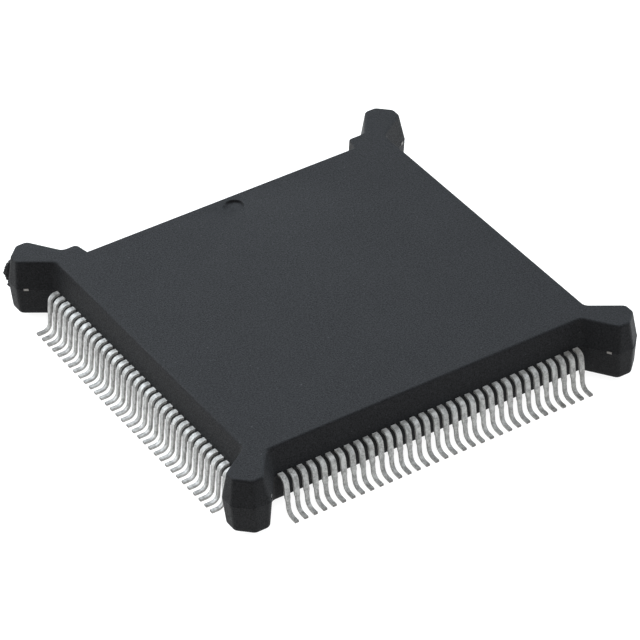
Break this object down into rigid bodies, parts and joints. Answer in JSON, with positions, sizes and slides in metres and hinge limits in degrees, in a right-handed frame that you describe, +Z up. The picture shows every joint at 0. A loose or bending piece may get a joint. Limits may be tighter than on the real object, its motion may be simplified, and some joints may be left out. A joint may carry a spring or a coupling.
{
  "type": "microprocessor",
  "caption": "Surface-mount microprocessor: square black moulded body with guard bumpers on its corners, gull-wing leads along all sides and a bevelled pin-1 side with a dimple.",
  "frame": {"origin": "middle of the package on the seating plane, at the undersides of the solder feet", "axes": "+Z up out of the board through the top face, +Y towards the bevelled pin-1 side, +X to the right of it seen from above"},
  "size_m": [0.028, 0.028, 0.0043],
  "materials": {
    "mould_compound": "fine matte moulded texture",
    "tin_plate": "dull tin-lead plate on copper alloy",
    "lead_frame_copper": "bare stamped copper alloy, bright at the cut ends",
    "attach_epoxy": "silver-filled epoxy",
    "silicon": "polished silicon",
    "bond_gold": "drawn gold wire"
  },
  "bodies": {
    "root": {"moulded_body": "mould_compound", "leads_front": "tin_plate", "leads_right": "tin_plate", "leads_rear": "tin_plate", "leads_left": "tin_plate", "die_paddle": "lead_frame_copper", "die_attach": "attach_epoxy", "silicon_die": "silicon", "bond_wires": "bond_gold"}
  },
  "joints": []
}
